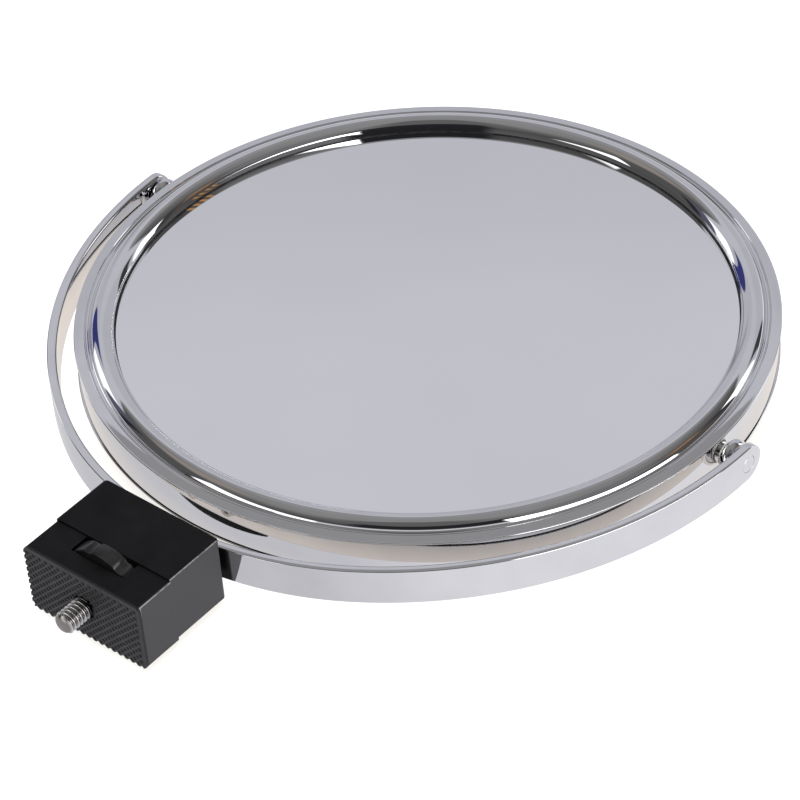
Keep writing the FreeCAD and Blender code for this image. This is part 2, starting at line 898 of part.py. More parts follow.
node(make_yoke())
node(make_rear_block())
node(make_front_block())
node(make_grip_pad())
node(make_cap_screws())
node(make_yoke_screws())
node(make_thrust_washers())
right_pin = node(make_pivot_pin())
right_ball = node(make_pivot_ball())
right_washer = node(make_friction_washer())
node(opposite(right_pin, "left_pivot_pin"))
node(opposite(right_ball, "left_pivot_ball"))
node(opposite(right_washer, "left_friction_washer"))
node(make_stud())
node(make_thumbwheel())
node(make_grub_screw())
rear_wall_end = (
    dim.magnifier_face
    + dish_depth(dim.bead_centre - dim.bead_radius + dim.sheet, dim.magnifier_radius)
    + dim.seat_gap
)
node(make_bezel("front_bezel", 1, dim.glass_face))
node(make_bezel("rear_bezel", -1, rear_wall_end))
node(make_drum_band())
node(make_plain_mirror())
node(make_magnifying_mirror())
node(make_spacer_ring())
node(make_backing_board())
right_boss = node(make_pivot_boss())
node(opposite(right_boss, "left_pivot_boss"))

doc.recompute()
for thing in doc.Objects:
    if "Invalid" in thing.State or "Error" in thing.State:
        raise RuntimeError(f"{thing.Name} failed: {thing.State}")
for piece in NODES:
    if piece.Shape.isNull() or not piece.Shape.isValid() or not piece.Shape.Solids:
        raise RuntimeError(f"{piece.Label} has no valid solid")

os.makedirs("parts", exist_ok=True)
for piece in NODES:
    piece.Shape.exportStep(f"parts/{piece.Label}.step")
    solids = len(piece.Shape.Solids)
    print(f"{piece.Label}: {solids} solid(s), {piece.Shape.Volume:.1f} mm3")
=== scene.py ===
import json
import math

import bmesh
import bpy
from mathutils import Matrix, Vector


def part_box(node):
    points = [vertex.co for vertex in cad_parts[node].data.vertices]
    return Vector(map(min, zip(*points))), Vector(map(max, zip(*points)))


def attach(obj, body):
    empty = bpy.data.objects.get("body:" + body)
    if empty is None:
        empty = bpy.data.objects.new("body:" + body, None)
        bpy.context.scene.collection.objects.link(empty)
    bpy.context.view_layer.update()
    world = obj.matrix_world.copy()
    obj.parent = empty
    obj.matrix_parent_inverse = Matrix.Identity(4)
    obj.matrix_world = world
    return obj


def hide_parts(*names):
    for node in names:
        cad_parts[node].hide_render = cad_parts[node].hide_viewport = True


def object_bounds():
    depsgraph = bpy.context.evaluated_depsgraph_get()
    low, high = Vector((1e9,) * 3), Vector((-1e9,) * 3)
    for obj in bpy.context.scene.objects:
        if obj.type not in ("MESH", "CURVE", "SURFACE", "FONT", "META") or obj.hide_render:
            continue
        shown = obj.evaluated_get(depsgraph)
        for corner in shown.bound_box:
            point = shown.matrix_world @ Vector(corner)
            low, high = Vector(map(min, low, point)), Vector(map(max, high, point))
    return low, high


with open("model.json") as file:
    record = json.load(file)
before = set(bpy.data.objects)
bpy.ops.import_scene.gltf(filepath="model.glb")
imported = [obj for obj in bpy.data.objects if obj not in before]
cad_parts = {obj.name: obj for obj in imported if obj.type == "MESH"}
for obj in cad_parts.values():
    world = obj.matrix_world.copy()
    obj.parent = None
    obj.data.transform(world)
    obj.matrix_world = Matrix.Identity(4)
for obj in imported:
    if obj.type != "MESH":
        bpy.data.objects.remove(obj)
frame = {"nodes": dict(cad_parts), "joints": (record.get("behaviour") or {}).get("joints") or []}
CAD_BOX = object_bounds()

# Shapes are drawn in millimetres, and make_mesh turns them into metres.
MM = 0.001
joints = {joint["name"]: joint for joint in frame["joints"]}
PIVOT = Vector(joints["mirror_tilt"]["pos_m"]) / MM
# How far the pivots lie beyond the middle of the mirror, seen from the block.
PIVOT_RISE = 1.8
YOKE_HALF_WIDTH = 5.5
HEAD_TILT = math.radians(-1.0)
HEAD = (
    Matrix.Translation(PIVOT)
    @ Matrix.Rotation(HEAD_TILT, 4, "X")
    @ Matrix.Translation((0, -PIVOT_RISE, 0))
)
CENTRE = Vector((0, PIVOT.y - PIVOT_RISE, 0))


# ---------------------------------------------------------------- material helpers


class Material:
    """A Principled material with short calls for the nodes that feed it."""

    def __init__(self, name, **sockets):
        self.material = bpy.data.materials.new(name)
        self.material.use_nodes = True
        self.tree = self.material.node_tree
        self.shader = self.tree.nodes["Principled BSDF"]
        self.coordinates = self.tree.nodes.new("ShaderNodeTexCoord").outputs["Object"]
        for socket, value in sockets.items():
            self.shader.inputs[socket.replace("_", " ")].default_value = value

    def node(self, kind, **settings):
        node = self.tree.nodes.new(kind)
        for key, value in settings.items():
            setattr(node, key, value)
        return node

    def link(self, source, target):
        self.tree.links.new(source, target)

    def set(self, socket, source):
        """Feeds one of the shader's sockets."""
        self.link(source, self.shader.inputs[socket])

    def scaled(self, scale):
        """Object coordinates in units of 1 / scale metres."""
        mapping = self.node("ShaderNodeMapping")
        self.link(self.coordinates, mapping.inputs["Vector"])
        mapping.inputs["Scale"].default_value = scale
        return mapping.outputs["Vector"]

    def noise(self, size_mm, detail=3.0, stretch=(1, 1, 1)):
        """Noise whose blobs are about size_mm across."""
        noise = self.node("ShaderNodeTexNoise")
        noise.inputs["Scale"].default_value = 1.0
        noise.inputs["Detail"].default_value = detail
        noise.inputs["Roughness"].default_value = 0.5
        self.link(self.scaled([s / (size_mm * MM) for s in stretch]), noise.inputs["Vector"])
        return noise.outputs["Fac"]

    def dots(self, spacing_mm):
        """Distance to the nearest of scattered points, in units of the spacing."""
        cells = self.node("ShaderNodeTexVoronoi")
        cells.inputs["Scale"].default_value = 1.0
        self.link(self.scaled([1 / (spacing_mm * MM)] * 3), cells.inputs["Vector"])
        return cells.outputs["Distance"]

    def spread(self, source, low_in, high_in, low, high):
        """Maps low_in..high_in to low..high, clamped."""
        mapped = self.node("ShaderNodeMapRange")
        self.link(source, mapped.inputs["Value"])
        for key, value in (
            ("From Min", low_in),
            ("From Max", high_in),
            ("To Min", low),
            ("To Max", high),
        ):
            mapped.inputs[key].default_value = value
        return mapped.outputs["Result"]

    def math(self, operation, first, second):
        """One operation on two sockets or numbers."""
        node = self.node("ShaderNodeMath", operation=operation)
        for socket, value in zip(node.inputs, (first, second)):
            if isinstance(value, (int, float)):
                socket.default_value = value
            else:
                self.link(value, socket)
        return node.outputs[0]

    def mix(self, factor, first, second):
        """A colour between first and second."""
        node = self.node("ShaderNodeMix", data_type="RGBA")
        self.link(factor, node.inputs["Factor"])
        for socket, value in ((node.inputs[6], first), (node.inputs[7], second)):
            if isinstance(value, tuple):
                socket.default_value = (*value, 1)
            else:
                self.link(value, socket)
        return node.outputs[2]

    def bump(self, height, depth_mm, strength=1.0):
        """Fine relief, too small for geometry."""
        bump = self.node("ShaderNodeBump")
        bump.inputs["Strength"].default_value = strength
        bump.inputs["Distance"].default_value = depth_mm * MM
        self.link(height, bump.inputs["Height"])
        self.set("Normal", bump.outputs["Normal"])

    def axes(self):
        """The x, y and z of the object coordinates, in metres."""
        split = self.node("ShaderNodeSeparateXYZ")
        self.link(self.coordinates, split.inputs[0])
        return split.outputs


def chrome():
    """Polished chrome with a faint uneven film on it."""
    colour = (0.76, 0.76, 0.775)
    look = Material("polished_chrome", Metallic=1.0)
    haze = look.noise(28, detail=5)
    grain = look.noise(0.6, detail=2)
    film = look.spread(haze, 0.35, 0.75, 0.015, 0.04)
    look.set("Roughness", look.math("ADD", film, look.spread(grain, 0.3, 0.8, 0.0, 0.015)))
    tone = look.spread(look.noise(9, detail=4), 0.3, 0.7, 0.0, 1.0)
    darker = tuple(0.955 * c for c in colour)
    look.set("Base Color", look.mix(tone, darker, colour))
    look.bump(look.noise(11, detail=1), 0.012)
    return look.material


def silvered():
    """Silvered glass with a little dust."""
    look = Material("silvered_glass", Metallic=1.0)
    dust = look.spread(look.dots(5.5), 0.0, 0.035, 1.0, 0.0)
    veil = look.spread(look.noise(34, detail=4), 0.35, 0.7, 0.004, 0.016)
    look.set("Roughness", look.math("ADD", veil, look.math("MULTIPLY", dust, 0.08)))
    tone = look.spread(look.noise(60, detail=2), 0.35, 0.65, 0.0, 1.0)
    glass = look.mix(tone, (0.85, 0.85, 0.865), (0.87, 0.87, 0.88))
    look.set("Base Color", look.mix(look.math("MULTIPLY", dust, 0.25), glass, (0.6, 0.6, 0.64)))
    return look.material


def anodised():
    """Black anodised aluminium with pale specks, painted lighter on its two ends and with a
    painted highlight along one edge.
    """
    look = Material("black_anodised", Specular_IOR_Level=0.13)
    grain = look.noise(0.22, detail=2)
    patches = look.noise(7, detail=4)
    mixed = look.math("ADD", look.math("MULTIPLY", grain, 0.4), patches)
    tone = look.spread(mixed, 0.5, 0.95, 0.0, 1.0)
    body = look.mix(tone, (0.003, 0.003, 0.0034), (0.0065, 0.0065, 0.0072))
    x, y, z = look.axes()
    # Painted light: the block's two ends are made lighter than the rest.
    body = look.mix(painted_light_on_ends(look, x), body, (0.075, 0.073, 0.077))
    specks = look.math("MULTIPLY", look.spread(look.dots(2.6), 0.0, 0.05, 1.0, 0.0), 0.35)
    body = look.mix(specks, body, (0.09, 0.09, 0.09))
    # Painted highlight: a bright, metallic bare-metal colour along one edge of the block.
    highlight_mask = painted_edge_highlight(look, x, y, z)
    look.set("Base Color", look.mix(highlight_mask, body, (0.62, 0.62, 0.63)))
    look.set("Metallic", look.math("MULTIPLY", highlight_mask, 0.8))
    look.set("Roughness", look.spread(grain, 0.3, 0.75, 0.4, 0.52))
    look.bump(grain, 0.02, 0.5)
    return look.material


def painted_light_on_ends(look, x):
    """Where the block's two ends are, which are painted greyer than the rest as painted light."""
    reach = look.math("ABSOLUTE", x, 0)
    return look.spread(reach, 0.0196, 0.0198, 0.0, 1.0)


def painted_edge_highlight(look, x, y, z):
    """A painted highlight, coloured as bare metal, along the top edge of the block's
    right-hand end, and down the front corner below it, broken up by noise. The front
    half of the block is a little wider and lower than the rear half."""
    front = look.spread(y, 0.0128, 0.01282, 1.0, 0.0)
    right = look.math("ADD", look.math("MULTIPLY", front, 0.0003), 0.01985)
    top = look.math("SUBTRACT", 0.0107, look.math("MULTIPLY", front, 0.0005))
    patchy = look.spread(look.noise(1.6, detail=4), 0.36, 0.5, 0.25, 1.0)

    def line(first, first_at, second, second_at, width):
        across = look.math("SUBTRACT", first, first_at)
        up = look.math("SUBTRACT", second, second_at)
        across = look.math("MULTIPLY", across, across)
        up = look.math("MULTIPLY", up, up)
        away = look.math("SQRT", look.math("ADD", across, up), 0)
        return look.spread(away, width * 0.5, width, 1.0, 0.0)

    along = line(x, right, z, top, 0.0003)
    fading = look.spread(z, 0.0062, 0.0085, 0.0, 1.0)
    corner = look.math("MULTIPLY", line(x, right, y, 0.001, 0.0004), fading)
    return look.math("MULTIPLY", look.math("MAXIMUM", along, corner), patchy)


def rubber():
    """Black rubber, dusty in patches on its ribs, with painted shade darkening the pits between
    them.
    """
    look = Material("black_rubber", Specular_IOR_Level=0.4)
    grain = look.noise(0.12, detail=2)
    dusty = look.spread(look.noise(4, detail=4), 0.4, 0.75, 0.0, 1.0)
    _, y, _ = look.axes()
    rubber_tone = look.mix(dusty, (0.027, 0.0262, 0.028), (0.046, 0.0445, 0.048))
    # Painted shade: the surface gets darker the deeper it lies behind the pad's front.
    pit = look.spread(y, 0.0001, 0.0004, 0.0, 1.0)
    look.set("Base Color", look.mix(pit, rubber_tone, (0.006, 0.006, 0.0065)))
    look.set("Roughness", look.spread(grain, 0.3, 0.7, 0.42, 0.6))
    look.bump(grain, 0.015, 0.6)
    return look.material


def moulded_black():
    """The glossy black plastic of the thumbwheel."""
    look = Material("black_moulding", Specular_IOR_Level=0.4)
    grain = look.noise(0.16, detail=2)
    patches = look.spread(look.noise(3.5, detail=3), 0.35, 0.7, 0.0, 1.0)
    look.set("Base Color", look.mix(patches, (0.009, 0.009, 0.0097), (0.017, 0.017, 0.018)))
    look.set("Roughness", look.spread(grain, 0.3, 0.7, 0.2, 0.32))
    look.bump(grain, 0.012, 0.5)
    return look.material


def sealant():
    """Nearly black sealant, uneven along its length."""
    look = Material("dark_sealant", Specular_IOR_Level=0.3)
    uneven = look.spread(look.noise(2.5, detail=3), 0.35, 0.7, 0.0, 1.0)
    look.set("Base Color", look.mix(uneven, (0.008, 0.008, 0.009), (0.03, 0.03, 0.032)))
    look.set("Roughness", look.spread(look.noise(0.8), 0.3, 0.7, 0.4, 0.65))
    return look.material


def machined_steel():
    """Bright steel, with painted shade in the thread's roots and near the pad."""
    look = Material("machined_steel", Metallic=1.0)
    x, y, z = look.axes()
    square = look.math("ADD", look.math("MULTIPLY", x, x), look.math("MULTIPLY", z, z))
    radius = look.math("SQRT", square, 0)
    # Painted shade: the thread's roots are darker than its crests.
    crest = look.spread(radius, 0.00255, 0.0031, 0.0, 1.0)
    mottle = look.spread(look.noise(0.9, detail=4), 0.35, 0.7, 0.0, 1.0)
    bright = look.mix(mottle, (0.62, 0.61, 0.6), (0.8, 0.79, 0.78))
    turned = look.mix(crest, (0.3, 0.28, 0.26), bright)
    # Painted shade on the stud near the pad.
    pad_shade = look.spread(y, -0.0018, -0.0004, 0.0, 0.85)
    look.set("Base Color", look.mix(pad_shade, turned, (0.05, 0.048, 0.045)))
    look.set("Roughness", look.spread(look.noise(0.35, detail=3), 0.3, 0.7, 0.14, 0.28))
    look.bump(look.noise(0.25, detail=2, stretch=(1, 6, 1)), 0.012, 0.6)
    return look.material


def screw_steel():
    """Duller steel for the screws."""
    look = Material("screw_steel", Metallic=1.0)
    mottle = look.spread(look.noise(1.2, detail=4), 0.35, 0.7, 0.0, 1.0)
    look.set("Base Color", look.mix(mottle, (0.5, 0.49, 0.47), (0.68, 0.67, 0.64)))
    look.set("Roughness", look.spread(look.noise(0.4, detail=3), 0.3, 0.7, 0.2, 0.38))
    look.bump(look.noise(0.3, detail=2), 0.01, 0.6)
    return look.material


def nylon():
    """Natural nylon, a little translucent."""
    look = Material("natural_nylon", Subsurface_Weight=0.15)
    look.shader.inputs["Subsurface Radius"].default_value = (0.0012, 0.001, 0.0008)
    cloud = look.spread(look.noise(5, detail=3), 0.35, 0.65, 0.0, 1.0)
    look.set("Base Color", look.mix(cloud, (0.72, 0.7, 0.63), (0.8, 0.785, 0.72)))
    look.set("Roughness", look.spread(look.noise(0.5, detail=3), 0.3, 0.7, 0.35, 0.5))
    look.bump(look.noise(0.3, detail=2), 0.01, 0.5)
    return look.material


def hardboard():
    """The brown pressed board between the two glasses."""
    look = Material("pressed_board")
    fibres = look.spread(look.noise(1.2, detail=5, stretch=(1, 0.35, 1)), 0.3, 0.7, 0.0, 1.0)
    look.set("Base Color", look.mix(fibres, (0.2, 0.125, 0.07), (0.38, 0.26, 0.16)))
    look.set("Roughness", look.spread(fibres, 0.0, 1.0, 0.65, 0.85))
    look.bump(fibres, 0.05, 0.6)
    return look.material


# -------------------------------------------------------------------- mesh helpers


def mark_sharp(mesh, angle_deg=32):
    """Smooth shading, with creases where the faces turn by more than the angle."""
    bm = bmesh.new()
    bm.from_mesh(mesh)
    bmesh.ops.recalc_face_normals(bm, faces=bm.faces)
    for face in bm.faces:
        face.smooth = True
    for edge in bm.edges:
        if len(edge.link_faces) == 2:
            edge.smooth = edge.calc_face_angle() < math.radians(angle_deg)
    bm.to_mesh(mesh)
    bm.free()


def make_mesh(name, points, faces, matrix=None, angle_deg=32):
    """A mesh object from points in millimetres."""
    matrix = matrix or Matrix.Identity(4)
    mesh = bpy.data.meshes.new(name)
    placed = [(matrix @ Vector(point)) * MM for point in points]
    mesh.from_pydata(placed, [], faces)
    mesh.validate()
    mark_sharp(mesh, angle_deg)
    piece = bpy.data.objects.new(name, mesh)
    bpy.context.scene.collection.objects.link(piece)
    return piece


def finish_piece(piece, body, material, slot, *nodes):
    """Gives a piece its material and body, and hides the CAD nodes it stands for. The slot is not
    used.
    """
    piece.data.materials.clear()
    piece.data.materials.append(material)
    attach(piece, body)
    if nodes:
        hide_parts(*nodes)


def arc(centre, radius, start_deg, end_deg, steps):
    """Points of an arc in the plane, both ends included."""
    points = []
    for i in range(steps + 1):
        angle = math.radians(start_deg + (end_deg - start_deg) * i / steps)
        x = centre[0] + radius * math.cos(angle)
        points.append((x, centre[1] + radius * math.sin(angle)))
    return points


def lathe(name, profile, axis="Z", steps=256, matrix=None, angle_deg=32, closed=True):
    """Turns (radius, height) points about X or Z. A closed profile gives a ring;
    an open one starts and ends on the axis."""
    turn = {"X": Matrix.Rotation(math.pi / 2, 4, "Y"), "Z": Matrix.Identity(4)}[axis]
    rings = []
    points = []
    for radius, height in profile:
        if radius < 1e-6:
            rings.append([len(points)] * steps)
            points.append(turn @ Vector((0, 0, height)))
            continue
        rings.append([len(points) + i for i in range(steps)])
        for i in range(steps):
            angle = 2 * math.pi * i / steps
            spot = Vector((radius * math.cos(angle), radius * math.sin(angle), height))
            points.append(turn @ spot)
    faces = []
    pairs = list(zip(rings, rings[1:]))
    if closed:
        pairs.append((rings[-1], rings[0]))
    for low, high in pairs:
        for i in range(steps):
            j = (i + 1) % steps
            corners = [low[i], low[j], high[j], high[i]]
            unique = [c for k, c in enumerate(corners) if c not in corners[:k]]
            if len(unique) > 2:
                faces.append(unique)
    return make_mesh(name, points, faces, matrix, angle_deg)


def subtract(piece, cutter, angle_deg=32):
    """Cuts one piece with another and throws the cutter away."""
    modifier = piece.modifiers.new("cut", "BOOLEAN")
    modifier.operation = "DIFFERENCE"
    modifier.solver = "EXACT"
    modifier.object = cutter
    depsgraph = bpy.context.evaluated_depsgraph_get()
    result = bpy.data.meshes.new_from_object(piece.evaluated_get(depsgraph))
    piece.modifiers.clear()
    old = piece.data
    piece.data = result
    result.name = piece.name
    bpy.data.meshes.remove(old)
    cutter_mesh = cutter.data
    bpy.data.objects.remove(cutter)
    bpy.data.meshes.remove(cutter_mesh)
    mark_sharp(result, angle_deg)


def soften(node_name, width_mm):
    """Rounds a CAD node's hard edges a little, so that they catch the light."""
    node = frame["nodes"][node_name]
    weld = node.modifiers.new("weld", "WELD")
    weld.merge_threshold = 1e-7
    bevel = node.modifiers.new("edge", "BEVEL")
    bevel.width = width_mm * MM
    bevel.segments = 2
    bevel.limit_method = "ANGLE"
    bevel.angle_limit = math.radians(28)
    bevel.harden_normals = True


def paint(node_name, material):
    """Gives a CAD node its material."""
    node = frame["nodes"][node_name]
    node.data.materials.clear()
    node.data.materials.append(material)


# ------------------------------------------------------------------------ pieces


def bezel(name, side, material):
    """A pressed ring: the wall at the glass, the bead, two fine grooves with a land
    between them, and the lip with its rounded rim. Side is 1 in front, -1 behind."""
    # The bead's outer arc: its centre and radius, and the height where it ends.
    centre, radius, base, foot = 92.1, 3.55, 4.6, 6.0
    wall_radius, wall_end, wall_tilt = 88.57, 4.15, 61.0
    wall_chamfer = [(wall_radius + 0.03, wall_end), (wall_radius, wall_end + 0.2)]
    # The inner arc runs from the wall, at wall_tilt, to the bead's crest.
    inner_radius = (centre - wall_radius) / math.sin(math.radians(wall_tilt))
    inner_centre = (centre, base + radius - inner_radius)
    sheet, under = 0.7, 5.3
    hollow = radius - sheet
    foot_angle = math.degrees(math.asin((foot - base) / radius))
    foot_radius = centre + radius * math.cos(math.radians(foot_angle))
    inner_angle = math.degrees(math.asin((under - base) / hollow))
    first_groove = [(foot_radius + 0.08, 5.72), (95.6, 5.62), (95.78, 5.62), (95.92, 5.74)]
    land = [(96.05, 5.86), (96.16, 5.9), (96.4, 5.9), (96.52, 5.86)]
    second_groove = [(96.66, 5.68), (96.74, 5.64), (96.84, 5.68), (96.94, 6.03), (97.04, 6.13)]
    lip_centre, lip_radius = (95.32, -18.49), 24.7
    rim_top, rim_bottom, rim_radius = (99.73, 5.6), (99.74, 5.56), 0.25
    profile = wall_chamfer + arc(inner_centre, inner_radius, 90 + wall_tilt, 90, 24)
    profile += arc((centre, base), radius, 88, foot_angle, 24)
    profile += first_groove + land + second_groove
    profile += arc(lip_centre, lip_radius, 86, 80, 8)
    profile += arc(rim_top, rim_radius, 72, 0, 6)
    profile += arc(rim_bottom, rim_radius, 0, -90, 6)
    profile += arc((centre, base), hollow, inner_angle, 180, 20)
    profile += [(centre - hollow, wall_end)]
    profile = [(r, h * side) for r, h in profile]
    ring = lathe(name, profile, steps=360, matrix=HEAD, angle_deg=22)
    finish_piece(ring, "mirror_head", material, "chrome", name.replace("_ring", "_bezel"))


def glass_seal(material):
    """The thin dark line of sealant where the front ring meets its glass."""
    inner, outer, low, high = 88.2, 88.62, 4.1, 4.19
    section = [(inner, low), (inner, high), (outer, high), (outer, low)]
    seal = lathe("glass_seal", section, steps=360, matrix=HEAD)
    finish_piece(seal, "mirror_head", material, "rubber")


def drum_wall(material):
    """The straight band between the two pressed rings."""
    outer, inner, end = 99.55, 98.75, 4.95
    profile = [(inner, -end), (outer, -end), (outer, end), (inner, end)]
    wall = lathe("drum_wall", profile, steps=360, matrix=HEAD)
    finish_piece(wall, "mirror_head", material, "chrome", "drum_band")


def mirror_faces(material):
    """The flat glass, and the dished magnifying glass behind it."""
    rim, front, back, ground = 95.2, 4.15, 2.4, 0.2
    flat = [(0, front), (rim - ground, front), (rim, front - 0.15)]
    flat += [(rim, back + ground), (rim - ground, back), (0, back)]
    plate = lathe("flat_glass", flat, matrix=HEAD, closed=False)
    finish_piece(plate, "mirror_head", material, "mirror", "plain_mirror")
    face, thick, sphere = -0.8, 1.8, 1100.0
    rings = 24

    def dish(radius, ball):
        return ball - math.sqrt(ball * ball - radius * radius)

    profile = []
    for i in range(rings + 1):
        radius = rim * i / rings
        profile.append((radius, face - dish(radius, sphere)))
    for i in range(rings, -1, -1):
        radius = rim * i / rings
        profile.append((radius, face + thick - dish(radius, sphere + thick)))
    dished = lathe("dished_glass", profile, matrix=HEAD, closed=False)
    finish_piece(dished, "mirror_head", material, "mirror", "magnifying_mirror")


def yoke_path():
    """Stations along the strip: (point on the outer side, inward direction), about
    the mirror's centre, from the right-hand end round the front to the left."""
    front_radius, side_radius, reach, half = 98.6, 118.6, 110.8, math.radians(32)
    front_centre = Vector((0, front_radius - reach))
    step = side_radius - front_radius
    side_centre = Vector((-step * math.sin(half), front_centre.y + step * math.cos(half)))
    end = PIVOT_RISE + YOKE_HALF_WIDTH
    start = PIVOT_RISE - 8.0

    def on_side(y):
        x = side_centre.x + math.sqrt(side_radius * side_radius - (y - side_centre.y) ** 2)
        point = Vector((x, y))
        return point, (side_centre - point).normalized()

    stations = []
    tip_steps, near_steps, side_steps, front_steps = 26, 24, 90, 90
    for i in range(tip_steps):
        angle = math.radians(89.0) * (1 - i / tip_steps)
        stations.append(on_side(PIVOT_RISE + (end - PIVOT_RISE) * math.sin(angle)))
    for i in range(near_steps):
        stations.append(on_side(PIVOT_RISE + (start - PIVOT_RISE) * i / near_steps))
    start_angle = math.asin((start - side_centre.y) / side_radius)
    end_angle = -(math.pi / 2 - half)
    for i in range(side_steps):
        angle = start_angle + (end_angle - start_angle) * i / side_steps
        direction = Vector((math.cos(angle), math.sin(angle)))
        stations.append((side_centre + side_radius * direction, -direction))
    for i in range(front_steps):
        angle = -math.pi / 2 + half * (1 - i / front_steps)
        direction = Vector((math.cos(angle), math.sin(angle)))
        stations.append((front_centre + front_radius * direction, -direction))
    direction = Vector((0, -1))
    middle = (front_centre + front_radius * direction, -direction)
    flipped = []
    for point, inward in reversed(stations):
        flipped.append((Vector((-point.x, point.y)), Vector((-inward.x, inward.y))))
    return stations + [middle] + flipped


def yoke_strip(material):
    """The bent strip, with full-round ends, crisp outer edges and rounder inner ones."""
    thick, outer_edge, inner_edge = 2.7, 0.3, 0.8
    # The strip's half width where its rounded end comes to nothing.
    least = 0.02
    corner = arc((0, 0), 1, 0, 90, 10)
    points = []
    loops = []
    for outer, inward in yoke_path():
        loop = []
        section = []
        for sign_in, sign_up in ((-1, 1), (1, 1), (1, -1), (-1, -1)):
            run = corner if sign_in * sign_up < 0 else corner[::-1]
            edge = inner_edge if sign_in > 0 else outer_edge
            for across, up in run:
                along = thick / 2 + sign_in * (thick / 2 - edge + edge * across)
                section.append((along, edge, sign_up, up))
        for along, edge, sign_up, up in section:
            spot = outer + inward * along
            over = spot.y - PIVOT_RISE
            half = YOKE_HALF_WIDTH
            if over > 0:
                half = math.sqrt(max(half**2 - over**2, least**2))
            radius = min(edge, half * 0.6)
            height = sign_up * (half - radius + radius * up)
            loop.append(len(points))
            points.append((spot.x, spot.y + CENTRE.y, height))
        loops.append(loop)
    faces = []
    count = len(loops[0])
    for low, high in zip(loops, loops[1:]):
        for i in range(count):
            j = (i + 1) % count
            faces.append([low[i], low[j], high[j], high[i]])
    faces.append(loops[0][::-1])
    faces.append(loops[-1])
    crease = 40
    strip = make_mesh("yoke_strip", points, faces, angle_deg=crease)
    pin_radius, head_radius, inside, ledge, outside = 2.0, 2.53, 104.0, 107.16, 109
    hole = [(0, inside), (pin_radius, inside), (pin_radius, ledge)]
    hole += [(head_radius, ledge), (head_radius, outside), (0, outside)]
    place = Matrix.Translation(PIVOT)
    for side in (1, -1):
        mirrored = [(r, h * side) for r, h in hole]
        cutter = lathe("cutter", mirrored, "X", 64, place, closed=False)
        subtract(strip, cutter, crease)
    finish_piece(strip, "frame", material, "chrome", "yoke")


def pivots(material):
    """Two pins with a dimple in their heads, and the two round-sided spacers."""
    place = Matrix.Translation(PIVOT)
    pin_radius, head_radius, start, face = 2.0, 2.5, 97.0, 107.95
    under_head, head_edge = face - 0.8, 0.16
    pin = [(0, start), (pin_radius - 0.3, start), (pin_radius, start + 0.3)]
    pin += [(pin_radius, under_head), (head_radius, under_head)]
    pin += arc((head_radius - head_edge, face - head_edge), head_edge, 0, 90, 5)
    pin += [(1.0, face), (0.86, face - 0.05), (0.35, face - 0.42), (0, face - 0.45)]
    inside, outside, end_radius = 100.8, 105.0, 2.95
    ball = [(pin_radius, inside), (end_radius, inside)]
    ball += arc((3.1, (inside + outside) / 2), 2.1, -88, 88, 24)
    ball += [(end_radius, outside), (pin_radius, outside)]
    for side, name in ((1, "right"), (-1, "left")):
        mirrored = [(r, h * side) for r, h in pin]
        head = lathe(f"{name}_rivet", mirrored, "X", 64, place, closed=False)
        finish_piece(head, "frame", material, "chrome", f"{name}_pivot_pin")
        mirrored = [(r, h * side) for r, h in ball]
        spacer = lathe(f"{name}_ball", mirrored, "X", 72, place)
        finish_piece(spacer, "frame", material, "chrome", f"{name}_pivot_ball")


def threaded_stud(material):
    """The stud with its helical 1/4 inch 20 thread, and the plain shank behind it."""
    pitch, major, root = 1.27, 3.17, 2.6
    start, end = -8.3, -0.05
    tip_length, tip_radius = 1.0, 1.8
    around, step = 72, 0.05
    # Shares of half a pitch taken by the crest and the flank.
    crest, flank = 0.1, 0.72
    shank = [(2.5, 0.0), (2.5, 1.0), (3.0, 1.0), (3.0, 12.8), (2.5, 12.8), (2.5, 19.8)]

    def thread_radius(phase):
        """Radius across one pitch: a crest, a flank, a root and a flank."""
        from_crest = abs((phase % 1.0) - 0.5) * 2
        if from_crest > 1 - crest:
            return major
        if from_crest > 1 - crest - flank:
            ratio = (1 - crest - from_crest) / flank
            return major + (root - major) * (ratio * ratio * (3 - 2 * ratio))
        return root

    rows = int(round((end - start) / step)) + 1
    points = [(0, start, 0)]
    loops = []
    for row in range(rows):
        y = start + (end - start) * row / (rows - 1)
        into = min((y - start) / tip_length, 1.0)
        limit = tip_radius + (major - tip_radius) * into**0.7
        loop = []
        for i in range(around):
            angle = 2 * math.pi * i / around
            radius = min(thread_radius(y / pitch - i / around), limit)
            loop.append(len(points))
            points.append((radius * math.sin(angle), y, radius * math.cos(angle)))
        loops.append(loop)
    for radius, y in shank:
        loop = []
        for i in range(around):
            angle = 2 * math.pi * i / around
            loop.append(len(points))
            points.append((radius * math.sin(angle), y, radius * math.cos(angle)))
        loops.append(loop)
    faces = []
    for low, high in zip(loops, loops[1:]):
        for i in range(around):
            j = (i + 1) % around
            faces.append([low[i], low[j], high[j], high[i]])
    for i in range(around):
        faces.append([0, loops[0][(i + 1) % around], loops[0][i]])
    faces.append(loops[-1])
    stud = make_mesh("threaded_stud", points, faces, angle_deg=50)
    finish_piece(stud, "stud_wheel", material, "steel", "stud")


